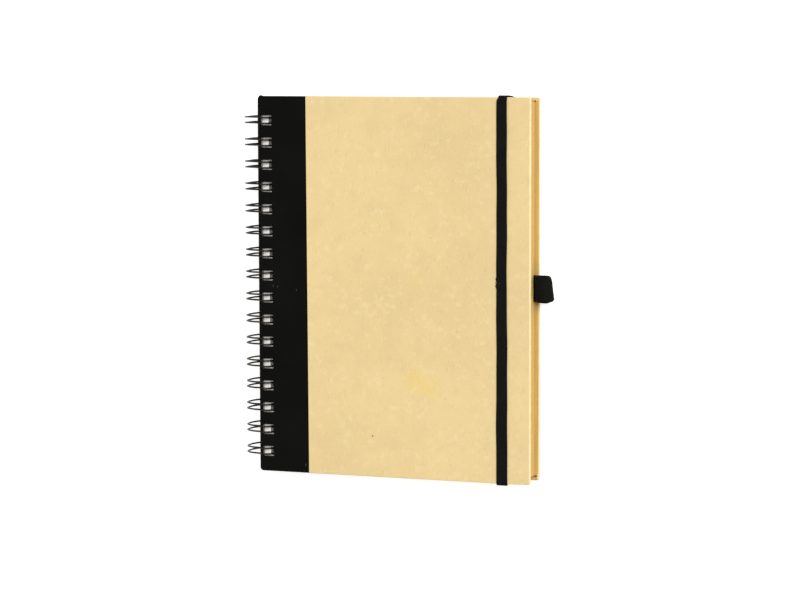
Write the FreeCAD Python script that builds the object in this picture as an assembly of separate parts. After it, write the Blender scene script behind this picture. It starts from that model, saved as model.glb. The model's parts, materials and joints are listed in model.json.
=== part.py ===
import FreeCAD, Part
import math
import os

V = FreeCAD.Vector

# Spiral notebook lying closed on its back cover, in millimetres.
# X runs from the binding to the fore-edge, Y along the binding with the head at +Y, +Z is up.
# The origin is on the table, below the middle of the whole notebook.

# Driving sizes: covers
cover_width = 163.0
cover_height = 216.0
board_thickness = 2.4
cover_corner_radius = 2.5
cover_edge_ease = 0.45
board_overhang = 3.0
strip_width = 29.6
strip_thickness = 0.25
lining_thickness = 0.2
lining_inset = 3.0
lining_start = 12.0

# Driving sizes: sheets
block_thickness = 14.2
fore_edge_overhang = 2.5
sheet_setback = 0.6

# Driving sizes: binding
loop_pitch = 12.7
loop_end_margin = 11.0
loop_shift = -0.85
wire_diameter = 1.0
loop_radius = 10.65
leg_spacing = 3.25
base_bend_radius = 1.0
base_height = 0.6
end_stub = 2.0
wire_sides = 6
leg_runs = 17
tip_runs = 5
bend_runs = 2
hinge_gap = 0.3
hole_margin = 2.2
hole_clearance = 0.41
hole_height = 6.3
channel_clearance = 0.3
seam_clearance = 0.35

# Driving sizes: closing band
band_width = 6.4
band_thickness = 1.0
band_to_fore_edge = 16.4
band_bend_radius = 0.8
band_tab_length = 22.0
band_seat_clearance = 0.05
band_side_clearance = 0.2
band_page_clearance = 0.35

# Driving sizes: pen loop
pen_loop_width = 15.0
pen_loop_shift = 0.9
pen_loop_thickness = 1.0
pen_loop_head_reach = 8.2
pen_loop_tail_reach = 9.8
pen_loop_bore = 7.2
pen_tab_length = 20.0
pen_neck_gap = 0.4
pen_relief_clearance = 0.4
pen_relief_head_slope = 9.0
pen_relief_tail_slope = 14.0

# Sizes that follow
lining_level = block_thickness / 2.0
board_level = lining_level + lining_thickness
outer_level = board_level + board_thickness
half_height = cover_height / 2.0
half_sheet = half_height - board_overhang
hinge_x = -hinge_gap / 2.0
wire_radius = wire_diameter / 2.0
block_end = cover_width - fore_edge_overhang
loop_count = int((cover_height - 2.0 * loop_end_margin) / loop_pitch) + 1
loop_centres = [(i - (loop_count - 1) / 2.0) * loop_pitch + loop_shift for i in range(loop_count)]
band_middle = cover_width - band_to_fore_edge
loop_outer = loop_radius + wire_radius
ring_at_covers = hinge_x + math.sqrt(loop_radius ** 2 - lining_level ** 2)
hole_width = ring_at_covers + wire_radius + hole_clearance - hole_margin
stub_reach = leg_spacing / 2.0 + base_bend_radius + end_stub
pen_reach = max(pen_loop_head_reach, pen_loop_tail_reach)


def box(x0, x1, y0, y1, z0, z1):
    return Part.makeBox(x1 - x0, y1 - y0, z1 - z0, V(x0, y0, z0))


def rounded_rectangle(x0, x1, y0, y1, radius, z):
    # Closed outline with four quarter-round corners, at one level
    arcs = []
    corners = [(x1 - radius, y1 - radius, 0), (x0 + radius, y1 - radius, 90),
               (x0 + radius, y0 + radius, 180), (x1 - radius, y0 + radius, 270)]
    for cx, cy, start in corners:
        circle = Part.Circle(V(cx, cy, z), V(0, 0, 1), radius)
        arcs.append(Part.ArcOfCircle(circle, math.radians(start), math.radians(start + 90)))
    edges = []
    for i, arc in enumerate(arcs):
        edges.append(arc.toShape())
        edges.append(Part.makeLine(arc.EndPoint, arcs[(i + 1) % 4].StartPoint))
    return Part.Wire(Part.__sortEdges__(edges))


def eased_plate(x0, x1, half_y, z0, z1, corner, ease):
    # Flat board with round corners and eased edges
    outline = Part.Face(rounded_rectangle(x0, x1, -half_y, half_y, corner, z0))
    plate = outline.extrude(V(0, 0, z1 - z0))
    rims = [e for e in plate.Edges if abs(e.BoundBox.ZLength) < 1e-6]
    return plate.makeChamfer(ease, rims)


def hole_cutters(z0, z1):
    # One square punch at each loop
    punches = []
    for y in loop_centres:
        punches.append(box(hole_margin, hole_margin + hole_width,
                           y - hole_height / 2.0, y + hole_height / 2.0, z0, z1))
    return Part.makeCompound(punches)


def cover_pieces(side):
    # side is +1 for the front cover and -1 for the back cover
    z0, z1 = sorted((side * board_level, side * outer_level))
    whole = eased_plate(0.0, cover_width, half_height, z0, z1,
                        cover_corner_radius, cover_edge_ease)
    core_outline = rounded_rectangle(strip_thickness, cover_width,
                                     strip_thickness - half_height, half_height - strip_thickness,
                                     cover_corner_radius - strip_thickness, z0 + strip_thickness)
    core = Part.Face(core_outline).extrude(V(0, 0, board_thickness - 2.0 * strip_thickness))
    reach = cover_width + cover_height
    spine_side = box(-reach, strip_width, -reach, reach, z0 - 1.0, z1 + 1.0)
    punches = hole_cutters(z0 - 1.0, z1 + 1.0)
    strip = whole.common(spine_side).cut(core).cut(punches)
    board = whole.cut(spine_side).fuse(core.common(spine_side)).removeSplitter().cut(punches)
    l0, l1 = sorted((side * lining_level, side * board_level))
    lining = box(lining_start, cover_width - lining_inset, -half_sheet, half_sheet, l0, l1)
    return board, strip, lining


def page_block():
    # The sheets, with hole channels that follow the ring from sheet to sheet
    block = box(sheet_setback, block_end, -half_sheet, half_sheet, -lining_level, lining_level)
    right_end = hole_margin + hole_width
    right_middle = hinge_x + loop_outer + channel_clearance
    left_end = hole_margin
    left_middle = right_middle - hole_width
    level = lining_level
    channels = []
    for y in loop_centres:
        y0 = y - hole_height / 2.0
        right = Part.Arc(V(right_end, y0, -level), V(right_middle, y0, 0), V(right_end, y0, level))
        left = Part.Arc(V(left_end, y0, -level), V(left_middle, y0, 0), V(left_end, y0, level))
        top = Part.makeLine(V(left_end, y0, level), V(right_end, y0, level))
        bottom = Part.makeLine(V(left_end, y0, -level), V(right_end, y0, -level))
        outline = Part.Wire(Part.__sortEdges__([right.toShape(), top, left.toShape(), bottom]))
        channels.append(Part.Face(outline).extrude(V(0, hole_height, 0)))
    # Where the wire's closed seam lies between the last sheet and the back cover
    seam_x, seam_z = seam_point()
    seam = box(seam_x - wire_radius - seam_clearance, seam_x + wire_radius + seam_clearance,
               loop_centres[0] - stub_reach - seam_clearance,
               loop_centres[-1] + stub_reach + seam_clearance,
               -lining_level - 1.0, seam_z + wire_radius + seam_clearance)
    # Where the sheets lift over the pen loop's glued ends
    lift = 2.0 * pen_loop_thickness + pen_relief_clearance
    inner = pen_loop_width / 2.0 + pen_relief_clearance
    x0 = block_end - pen_tab_length - pen_relief_clearance
    points = [V(x0, pen_loop_shift - inner - pen_relief_tail_slope, -level),
              V(x0, pen_loop_shift - inner, -level + lift),
              V(x0, pen_loop_shift + inner, -level + lift),
              V(x0, pen_loop_shift + inner + pen_relief_head_slope, -level)]
    relief = Part.Face(Part.makePolygon(points + points[:1])).extrude(V(cover_width, 0, 0))
    block = block.cut(Part.makeCompound(channels))
    return block.cut(seam).cut(relief)


def ring_point(angle):
    return hinge_x + loop_radius * math.cos(angle), loop_radius * math.sin(angle)


def leg_start_angle():
    # The ring angle at which the seam's straight runs lie just above the back cover
    low = -lining_level + base_height
    angle = math.asin(low / loop_radius)
    for _ in range(20):
        lowest = loop_radius * math.sin(angle) - base_bend_radius * math.cos(angle)
        angle += (low - lowest) / loop_radius
    return angle


def seam_point():
    angle = leg_start_angle()
    x, z = ring_point(angle)
    return (x + base_bend_radius * math.sin(angle), z - base_bend_radius * math.cos(angle))


def arc_points(centre, start, axis, turn, runs):
    # The corners of an arc drawn as straight runs, without its first point
    points = []
    for i in range(1, runs + 1):
        spin = FreeCAD.Rotation(axis, turn * i / runs)
        points.append(centre + spin.multVec(start - centre))
    return points


def loop_path(first_end, last_end):
    # Up one leg, round the tip, back down the other leg, with half a base run at each end
    start = leg_start_angle()
    gap = (base_bend_radius + leg_spacing / 2.0) / loop_radius
    end = start + 2.0 * math.pi - gap
    sx, sz = ring_point(start)
    ex, ez = ring_point(end)
    half = leg_spacing / 2.0
    ring = V(hinge_x, 0, 0)
    turn = math.degrees(end - start)
    out_start = V(math.cos(start), 0, math.sin(start))
    out_end = V(math.cos(end), 0, math.sin(end))
    bx, bz = seam_point()
    foot_a, foot_b = V(sx, -half, sz), V(sx, half, sz)
    axis_y = V(0, 1, 0)
    bend_a = V(sx, -half - base_bend_radius, sz)
    path = [V(bx, -first_end, bz), V(bx, -half - base_bend_radius, bz)]
    path += arc_points(bend_a, path[-1], out_start, 90, bend_runs)
    path += arc_points(ring - axis_y * half, foot_a, -axis_y, turn, leg_runs)
    path += arc_points(V(ex, 0, ez), path[-1], out_end, -180, tip_runs)
    path += arc_points(ring + axis_y * half, path[-1], axis_y, turn, leg_runs)
    path += arc_points(foot_b + axis_y * base_bend_radius, foot_b, out_start, 90, bend_runs)
    path.append(V(bx, last_end, bz))
    return path


def wire_loop(y, first_end, last_end):
    # Black wire swept along one loop, with mitred corners
    points = [p + V(0, y, 0) for p in loop_path(first_end, last_end)]
    path = Part.makePolygon(points)
    bx, bz = seam_point()
    corners = []
    for i in range(wire_sides):
        angle = 2.0 * math.pi * i / wire_sides + leg_start_angle() + math.pi / 2.0
        corners.append(V(bx + wire_radius * math.cos(angle), points[0].y,
                         bz + wire_radius * math.sin(angle)))
    section = Part.makePolygon(corners + corners[:1])
    sweep = Part.BRepOffsetAPI.MakePipeShell(path)
    sweep.setTransitionMode(1)
    sweep.add(section)
    sweep.build()
    sweep.makeSolid()
    return sweep.shape()


def twin_loop_wire():
    # Neighbouring loops share the straight base run between them
    middle = loop_pitch / 2.0
    loops = []
    for i, y in enumerate(loop_centres):
        first_end = stub_reach if i == 0 else middle
        last_end = stub_reach if i == loop_count - 1 else middle
        loops.append(wire_loop(y, first_end, last_end))
    return loops[0].multiFuse(loops[1:]).removeSplitter()


def rounded_path(points, radii, x):
    # Points in Y and Z, joined by straight runs and tangent arcs
    vectors = [V(x, y, z) for y, z in points]
    edges = []
    last = vectors[0]
    for i in range(1, len(vectors) - 1):
        before = (vectors[i - 1] - vectors[i]).normalize()
        after = (vectors[i + 1] - vectors[i]).normalize()
        angle = before.getAngle(after)
        reach = radii[i - 1] / math.tan(angle / 2.0)
        a = vectors[i] + before * reach
        b = vectors[i] + after * reach
        middle = before + after
        middle.normalize()
        centre = vectors[i] + middle * (radii[i - 1] / math.sin(angle / 2.0))
        m = centre - middle * radii[i - 1]
        edges.append(Part.makeLine(last, a))
        edges.append(Part.Arc(a, m, b).toShape())
        last = b
    edges.append(Part.makeLine(last, vectors[-1]))
    return edges


def band_exit():
    # Where the band turns up from its bed, past the lining and the sheets
    return half_sheet + band_page_clearance + band_bend_radius


def elastic_band():
    # Flat woven elastic: glued ends in the back board, then over head, front face and tail
    x0 = band_middle - band_width / 2.0
    t = band_thickness
    tab_z = -board_level
    exit_y = band_exit()
    low_y = exit_y + t
    edge_y = half_height + band_seat_clearance
    top_z = outer_level + band_seat_clearance
    tab_y = exit_y - band_tab_length
    lower_z = lining_level
    low = band_bend_radius
    edge = cover_edge_ease / 2.0
    lean = 4.0 * t
    inner = [(tab_y, tab_z), (exit_y, tab_z), (edge_y, lower_z), (edge_y, top_z)]
    outer = [(tab_y, tab_z - t), (low_y, tab_z - t), (edge_y + t, lower_z), (edge_y + t, top_z + t)]
    inside = inner + [(-y, z) for y, z in reversed(inner)]
    outside = outer + [(-y, z) for y, z in reversed(outer)]
    bends_in = [low, lean, edge, edge, lean, low]
    bends_out = [low + t, lean + t, edge + t, edge + t, lean + t, low + t]
    edges = rounded_path(inside, bends_in, x0) + rounded_path(outside, bends_out, x0)
    for end in (0, -1):
        a = V(x0, inside[end][0], inside[end][1])
        b = V(x0, outside[end][0], outside[end][1])
        edges.append(Part.makeLine(a, b))
    outline = Part.Wire(Part.__sortEdges__(edges))
    return Part.Face(outline).extrude(V(band_width, 0, 0))


def band_seats():
    # Shallow beds in the back board for the band's two glued ends
    x0 = band_middle - band_width / 2.0 - band_side_clearance
    x1 = band_middle + band_width / 2.0 + band_side_clearance
    exit_y = band_exit()
    y0 = exit_y - band_tab_length - band_side_clearance
    y1 = exit_y + band_thickness + band_side_clearance
    z0 = -board_level - band_thickness
    beds = [box(x0, x1, y0, y1, z0, -board_level + 1.0)]
    beds.append(box(x0, x1, -y1, -y0, z0, -board_level + 1.0))
    return Part.makeCompound(beds)


def drop_outline(inset, y):
    # Drop-shaped section of the pen loop: two flat layers that open into a round eye
    radius = pen_loop_bore / 2.0 + pen_loop_thickness - inset
    floor = -lining_level + inset
    cx = cover_width + pen_loop_head_reach - inset - radius
    cz = floor + radius
    neck_x = block_end + pen_neck_gap
    neck_z = -lining_level + 2.0 * pen_loop_thickness - inset
    # The upper layer runs straight to where it touches the eye
    dx, dz = cx - neck_x, cz - neck_z
    distance = math.hypot(dx, dz)
    touch = math.atan2(dz, dx) + math.asin(radius / distance)
    length = math.sqrt(distance ** 2 - radius ** 2)
    corner = V(neck_x, y, floor)
    neck = V(neck_x, y, neck_z)
    foot = V(cx, y, floor)
    right = V(cx + radius, y, cz)
    top = V(neck_x + length * math.cos(touch), y, neck_z + length * math.sin(touch))
    sweep = math.atan2(top.z - cz, top.x - cx) / 2.0
    upper = V(cx + radius * math.cos(sweep), y, cz + radius * math.sin(sweep))
    lower = V(cx + radius * math.cos(math.pi / 4), y, cz - radius * math.sin(math.pi / 4))
    edges = [Part.makeLine(corner, foot), Part.Arc(foot, lower, right).toShape(),
             Part.Arc(right, upper, top).toShape(), Part.makeLine(top, neck)]
    if neck_z - floor > 1e-6:
        edges.append(Part.makeLine(neck, corner))
    return Part.Wire(edges)


def pen_loop():
    # Wide elastic folded back on itself, standing out a little more towards the tail
    head_y = pen_loop_shift + pen_loop_width / 2.0
    tail_y = pen_loop_shift - pen_loop_width / 2.0
    skew = pen_loop_tail_reach - pen_loop_head_reach
    along = V(skew, -pen_loop_width, 0)
    outer = Part.Face(drop_outline(0.0, head_y)).extrude(along)
    inner = Part.Face(drop_outline(pen_loop_thickness, head_y)).extrude(along)
    floor = -lining_level
    near = block_end - pen_tab_length
    neck = block_end + pen_neck_gap
    plan = [V(near, head_y, floor), V(neck, head_y, floor),
            V(neck + skew, tail_y, floor), V(near, tail_y, floor)]
    ends = Part.Face(Part.makePolygon(plan + plan[:1])).extrude(V(0, 0, 2.0 * pen_loop_thickness))
    return outer.cut(inner).fuse(ends).removeSplitter()


front_board, front_strip, front_sheet = cover_pieces(1)
back_board, back_strip, back_sheet = cover_pieces(-1)
pieces = {
    "page_block": page_block(),
    "twin_loop_wire": twin_loop_wire(),
    "front_cover": front_board,
    "front_spine_strip": front_strip,
    "front_lining": front_sheet,
    "back_cover": back_board.cut(band_seats()),
    "back_spine_strip": back_strip,
    "back_lining": back_sheet,
    "elastic_band": elastic_band(),
    "pen_loop": pen_loop(),
}

# The origin goes to the table, below the middle of the whole
wire_corners = pieces["twin_loop_wire"].Vertexes
table = min(v.Z for v in wire_corners)
middle_x = (min(v.X for v in wire_corners) + cover_width + pen_reach) / 2.0
os.makedirs("parts", exist_ok=True)
for name, shape in pieces.items():
    shape.translate(V(-middle_x, 0, -table))
    shape.exportStep("parts/" + name + ".step")
    print(name, len(shape.Solids), "solid, volume", round(shape.Volume, 1))
print("hinge at", round(hinge_x - middle_x, 4), 0, round(-table, 4))
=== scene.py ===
import json
import math

import bpy
from mathutils import Matrix, Vector
from mathutils.geometry import delaunay_2d_cdt


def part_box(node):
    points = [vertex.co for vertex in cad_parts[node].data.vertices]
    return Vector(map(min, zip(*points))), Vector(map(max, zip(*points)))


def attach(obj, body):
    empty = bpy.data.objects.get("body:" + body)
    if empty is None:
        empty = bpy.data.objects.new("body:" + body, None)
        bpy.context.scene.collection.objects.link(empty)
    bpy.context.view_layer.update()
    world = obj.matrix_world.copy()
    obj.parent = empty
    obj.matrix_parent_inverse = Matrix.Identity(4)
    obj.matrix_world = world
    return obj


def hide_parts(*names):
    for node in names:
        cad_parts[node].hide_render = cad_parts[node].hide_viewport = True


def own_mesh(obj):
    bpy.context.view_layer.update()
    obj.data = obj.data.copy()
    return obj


bl_info = {
    "name": "Twin-loop notebook",
    "version": (1, 0, 0),
    "blender": (4, 5, 0),
    "location": "View3D > Sidebar > Notebook",
    "description": "Builds a twin-loop notebook's covers, sheets, wire and elastics over its solid model",
    "category": "Object",
}

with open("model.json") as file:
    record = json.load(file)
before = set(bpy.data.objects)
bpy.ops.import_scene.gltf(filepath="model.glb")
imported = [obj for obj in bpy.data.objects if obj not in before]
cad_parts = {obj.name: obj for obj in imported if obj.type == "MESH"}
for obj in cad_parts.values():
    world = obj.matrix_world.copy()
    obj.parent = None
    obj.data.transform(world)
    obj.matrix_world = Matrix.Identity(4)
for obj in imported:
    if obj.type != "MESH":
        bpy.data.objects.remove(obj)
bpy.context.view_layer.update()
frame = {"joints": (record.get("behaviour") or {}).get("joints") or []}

MM = 0.001
COVER_LOW, COVER_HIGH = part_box("front_cover")
STRIP_LOW, STRIP_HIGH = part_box("front_spine_strip")
BACK_LOW, BACK_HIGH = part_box("back_cover")
SHEETS_LOW, SHEETS_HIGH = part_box("page_block")
BAND_LOW, BAND_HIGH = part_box("elastic_band")
PEN_LOW, PEN_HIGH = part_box("pen_loop")
SPINE = STRIP_LOW.x
FORE = COVER_HIGH.x
JOINT = Vector(frame["joints"][0]["pos_m"])
MIDDLE = JOINT.z


def srgb(red, green, blue):
    """A colour as it is seen on a screen, 0 to 255, in the linear form that Blender mixes in."""
    def linear(c):
        c /= 255.0
        return c / 12.92 if c <= 0.04045 else ((c + 0.055) / 1.055) ** 2.4
    return linear(red), linear(green), linear(blue)


def number(label, value, words, **kind):
    return bpy.props.FloatProperty(name=label, description=words, default=value, **kind)


def length(label, metres, words):
    return number(label, metres, words, unit="LENGTH", precision=5)


def whole_number(label, value, words, low=1):
    return bpy.props.IntProperty(name=label, description=words, default=value, min=low)


def vector(label, values, words, **kind):
    return bpy.props.FloatVectorProperty(name=label, description=words, default=values, **kind)


def colour(label, rgb, words):
    return vector(label, srgb(*rgb), words, subtype="COLOR", min=0.0, max=1.0)


def pointer(kind, label, words):
    return bpy.props.PointerProperty(type=kind, name=label, description=words)


class NotebookCoverSettings(bpy.types.PropertyGroup):
    """Sizes and colours of the two kraft-covered boards and their black spine strips."""
    kraft: colour("Kraft", (238, 211, 153), "Paper that covers both boards")
    kraft_fibre: colour("Pale fibre", (248, 227, 177), "Light fibres in the kraft paper")
    kraft_fleck: colour("Dark fibre", (203, 168, 108), "Dark fibres and flecks in the kraft paper")
    lining: colour("Lining", (220, 181, 116), "Kraft paper glued inside the boards")
    strip: colour("Spine strip", (14, 14, 13), "Matt black paper round the spine side")
    # Painted shade: the turned-in kraft is darker and more saturated than the cover kraft, for the shade
    # and warm reflected light in the recess between the boards.
    shaded_turn_in: colour("Turned-in kraft", (198, 161, 86), "Kraft paper folded over inside a cover")
    # Painted highlight: the pale band along each cover's fore-edge stands for light catching its rounded
    # edge.
    edge_highlight: colour("Edge highlight", (255, 236, 184), "Pale folded edge at the fore-edge of a cover")
    board_core: colour("Board core", (150, 138, 118), "Grey board seen in the punched holes")
    edge_round: length("Edge rounding", 0.6 * MM, "Radius at which the paper folds round the board's edge")
    spine_round: length("Spine corner rounding", 2.0 * MM, "Radius of the corners beside the wire")
    fore_round: length("Fore-edge corner rounding", 1.3 * MM, "Radius of the corners at the fore-edge")
    strip_lean: length("Strip lean", 0.85 * MM, "How much wider the strip is at the tail than the head")
    head_trim: length("Back cover trim", 0.45 * MM, "How much shorter the back cover is cut at its head")
    corner_fold: length("Corner fold", 0.5 * MM, "Lump of folded paper at the front cover's head corner")
    paper_step: length("Paper step", 0.1 * MM, "How far the kraft paper stands above the black strip")
    hole_width: length("Hole width", 6.5 * MM, "Punched hole, across the spine")
    hole_height: length("Hole height", 5.7 * MM, "Punched hole, along the spine")
    hole_drop: length("Hole drop", 0.25 * MM, "How far the covers' holes stand off towards the tail")
    hole_margin: length("Hole margin", 2.2 * MM, "From the spine edge to the punched holes")
    hole_round: length("Hole rounding", 0.7 * MM, "Corner radius of the punched holes")
    hole_lip: length("Hole lip", 0.12 * MM, "Softness of the punched paper's edge")


class NotebookSheetSettings(bpy.types.PropertyGroup):
    """The stack of sheets between the covers."""
    count: whole_number("Sheets", 96, "Number of sheets in the stack")
    fill: number("Sheet share", 0.97, "Thickness of a sheet as a share of its place in the stack")
    jitter: length("Jitter", 0.05 * MM, "How far a sheet may stand out from its neighbours")
    seed: whole_number("Seed", 7, "Fixed seed of the sheets' small offsets", 0)
    hole_margin: length("Sheet hole margin", 5.84 * MM, "From the covers' spine edge to the sheets' holes")
    hole_height: length("Sheet hole height", 4.6 * MM, "Height of the sheets' holes, along the spine")
    bow: length("Bow", 2.3 * MM, "How far the holes follow the ring at the middle of the stack")
    seam_lift: length("Seam lift", 1.75 * MM, "How far the lowest sheet rises over the wire's seam")
    pen_lift: length("Pen loop lift", 2.45 * MM, "How far the lowest sheet rises over the pen loop")
    # Painted shade: the tan of the cut edges stands for shade and warm light thrown from the kraft covers
    # onto cream sheets.
    edge: colour("Cut edge", (226, 186, 106), "The sheets' outer cut edges")
    face: colour("Sheet face", (255, 254, 249), "Blank face of a sheet")
    # Painted shade: the walls of the sheets' holes are dark because the deep holes lie in shadow; the paper
    # itself is white.
    hole_wall: colour("Hole wall", (96, 91, 80), "The sheets' cut edges inside the punched holes")


class NotebookWireSettings(bpy.types.PropertyGroup):
    """The twin-loop wire of the binding."""
    loops: whole_number("Loops", 16, "Number of double loops")
    pitch: length("Pitch", 12.7 * MM, "Distance from loop to loop")
    shift: length("Shift", -0.85 * MM, "How far the row of loops stands off the middle")
    radius: length("Ring radius", 10.57 * MM, "Radius of the ring at the middle of the wire")
    wire: length("Wire diameter", 1.0 * MM, "Thickness of the coated wire")
    leg_spacing: length("Leg spacing", 3.25 * MM, "Between the two legs of a loop")
    base_bend: length("Base bend", 1.0 * MM, "Bend radius between a leg and the closed seam")
    base_height: length("Base height", 0.6 * MM, "Height of the closed seam above the back lining")
    end_stub: length("End stub", 2.0 * MM, "Straight end of the wire beyond the last bend of the row")
    leg_drop: length("Leg drop", 0.45 * MM, "How far the loops stand off towards the tail inside the holes")
    tip_lean: length("Tip lean", 0.3 * MM, "How far the loops' tips lean towards the tail")
    sides: whole_number("Sides", 12, "Faces round the wire", 3)
    black: colour("Coating", (9, 9, 9), "Black coating of the wire")


class NotebookElasticSettings(bpy.types.PropertyGroup):
    """The closing band and the pen loop, both of flat woven elastic."""
    black: colour("Elastic", (22, 22, 20), "Black yarn of the elastic")
    band_ribs: whole_number("Band ribs", 7, "Cords that run along the band")
    pen_ribs: whole_number("Loop ribs", 17, "Cords that run along the pen loop's strap")
    rib_height: length("Rib height", 0.05 * MM, "How far a cord stands up")
    thickness: length("Thickness", 0.95 * MM, "Thickness of the straps")
    tab: length("Glued end", 20.0 * MM, "Length of a strap's glued end under the sheets")
    head_lean: length("Head lean", 1.5 * MM, "How far the band leans to the fore-edge at the head")
    tail_lean: length("Tail lean", 1.3 * MM, "How far the band leans to the spine at the tail")
    tail_spread: number("Tail spread", 0.07, "Share by which the band widens towards the tail")
    corner_pinch: number("Corner pinch", 0.16, "Share by which the band narrows at the head corner")
    pen_skew: length("Loop skew", 1.6 * MM, "How much further the pen loop stands out at its tail side")
    pen_reach: length("Loop reach", 0.45 * MM, "How much further the whole pen loop stands out")
    pick: length("Pick", 0.55 * MM, "Distance between crossing yarns")
    lint: colour("Lint", (96, 98, 84), "Grey-green speck caught on the band")


class NotebookStageSettings(bpy.types.PropertyGroup):
    """Camera, floor and light."""
    camera_place: vector("Camera place", (0.52843, 0.14495, 1.46332), "Where the camera stands",
                         subtype="XYZ", unit="LENGTH")
    camera_turn: vector("Camera turn", [math.radians(a) for a in (-5.6957, 19.9101, -0.1871)],
                        "Camera rotation", subtype="EULER", unit="ROTATION")
    lens: number("Lens", 123.085, "Focal length of the camera", unit="CAMERA")
    world: number("World", 0.5, "Strength of the even white light from all round")
    key: number("Key light", 1.95, "Strength of the soft light from the fore-edge side")
    key_from: vector("Key direction", (0.46, 0.34, 0.82), "Where the soft light comes from")
    key_softness: number("Key softness", math.radians(30.0), "Angle that the light takes up in the sky",
                         subtype="ANGLE")
    floor_size: length("Floor size", 8.0, "Side of the white floor")
    floor_white: number("Floor white", 0.86, "How much light the floor throws back")
    floor_glow: number("Floor glow", 0.58, "How much brighter the floor looks to the camera than it is")


def settings():
    return bpy.context.scene.notebook


# Mesh helpers

def hole_centres():
    wire = settings().wire
    first = -(wire.loops - 1) / 2.0 * wire.pitch + wire.shift
    return [first + i * wire.pitch for i in range(wire.loops)]


def rounded_box_outline(x0, x1, half_y, left_round, right_round, steps=8):
    """Outline of a board from above, anticlockwise from the tail of the spine side."""
    corners = [(x0, -half_y, left_round, 180), (x1, -half_y, right_round, 270),
               (x1, half_y, right_round, 0), (x0, half_y, left_round, 90)]
    points = []
    for x, y, radius, start in corners:
        radius = max(radius, 1e-5)
        cx = x - math.copysign(radius, x - (x0 + x1) / 2.0)
        cy = y - math.copysign(radius, y)
        for i in range(steps + 1):
            angle = math.radians(start + 90.0 * i / steps)
            points.append((cx + radius * math.cos(angle), cy + radius * math.sin(angle)))
    return points


def sheet_hole_outline(centre_y):
    """The sheets' hole, smaller than the covers' and hard against its fore-edge side."""
    cover, sheets = settings().cover, settings().sheets
    outline = rounded_box_outline(SPINE + sheets.hole_margin, SPINE + cover.hole_margin + cover.hole_width,
                                  sheets.hole_height / 2.0, 0.3 * MM, 0.3 * MM, 2)
    return [(x, y + centre_y - settings().wire.leg_drop) for x, y in outline]


def hole_outline(centre_y, grow=0.0):
    cover = settings().cover
    x0 = SPINE + cover.hole_margin - grow
    x1 = SPINE + cover.hole_margin + cover.hole_width + grow
    outline = rounded_box_outline(x0, x1, cover.hole_height / 2.0 + grow,
                                  cover.hole_round + grow, cover.hole_round + grow, 4)
    return [(x, y + centre_y - cover.hole_drop) for x, y in outline]


def edge_profile(low, high, radius, steps=5):
    """Inset and level of each ring from the under face, round the edge, to the upper face."""
    rings = []
    for i in range(steps + 1):
        angle = math.pi / 2.0 * i / steps
        rings.append((radius * (1.0 - math.sin(angle)), low + radius * (1.0 - math.cos(angle))))
    return rings + [(inset, high - (level - low)) for inset, level in reversed(rings)]


def fill_between(outer, holes, extra=()):
    """Points and triangles between an outline and its holes, with extra points inside."""
    points = [Vector(p) for p in outer]
    edges = [(i, (i + 1) % len(outer)) for i in range(len(outer))]
    for hole in holes:
        start = len(points)
        points += [Vector(p) for p in hole]
        edges += [(start + i, start + (i + 1) % len(hole)) for i in range(len(hole))]
    points += [Vector(p) for p in extra]
    found, _, faces, origins, _, _ = delaunay_2d_cdt(points, edges, [], 0, 1e-8)
    back = [min(o) for o in origins]
    boxes = [(min(p[0] for p in h), max(p[0] for p in h), min(p[1] for p in h), max(p[1] for p in h))
             for h in holes]

    def inside(x, y, ring):
        hit = False
        for (ax, ay), (bx, by) in zip(ring, ring[1:] + ring[:1]):
            if (ay > y) != (by > y) and x < (bx - ax) * (y - ay) / (by - ay) + ax:
                hit = not hit
        return hit

    triangles = []
    for face in faces:
        x = sum(found[i][0] for i in face) / 3.0
        y = sum(found[i][1] for i in face) / 3.0
        if not inside(x, y, outer):
            continue
        if any(b[0] < x < b[1] and b[2] < y < b[3] and inside(x, y, h) for b, h in zip(boxes, holes)):
            continue
        a, b, c = (Vector(found[i]) for i in face)
        order = face if (b - a).cross(c - a) > 0 else face[::-1]
        triangles.append([back[i] for i in order])
    return points, triangles


def new_piece(name, points, faces, materials, face_materials=None, smooth=None):
    """A mesh object in the scene, from its points and faces."""
    mesh = bpy.data.meshes.new(name)
    mesh.from_pydata([tuple(p) for p in points], [], faces)
    for material in materials:
        mesh.materials.append(material)
    if face_materials:
        mesh.polygons.foreach_set("material_index", face_materials)
    mesh.polygons.foreach_set("use_smooth", smooth or [False] * len(faces))
    mesh.update()
    piece = bpy.data.objects.new(name, mesh)
    bpy.context.scene.collection.objects.link(piece)
    return piece


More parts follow.
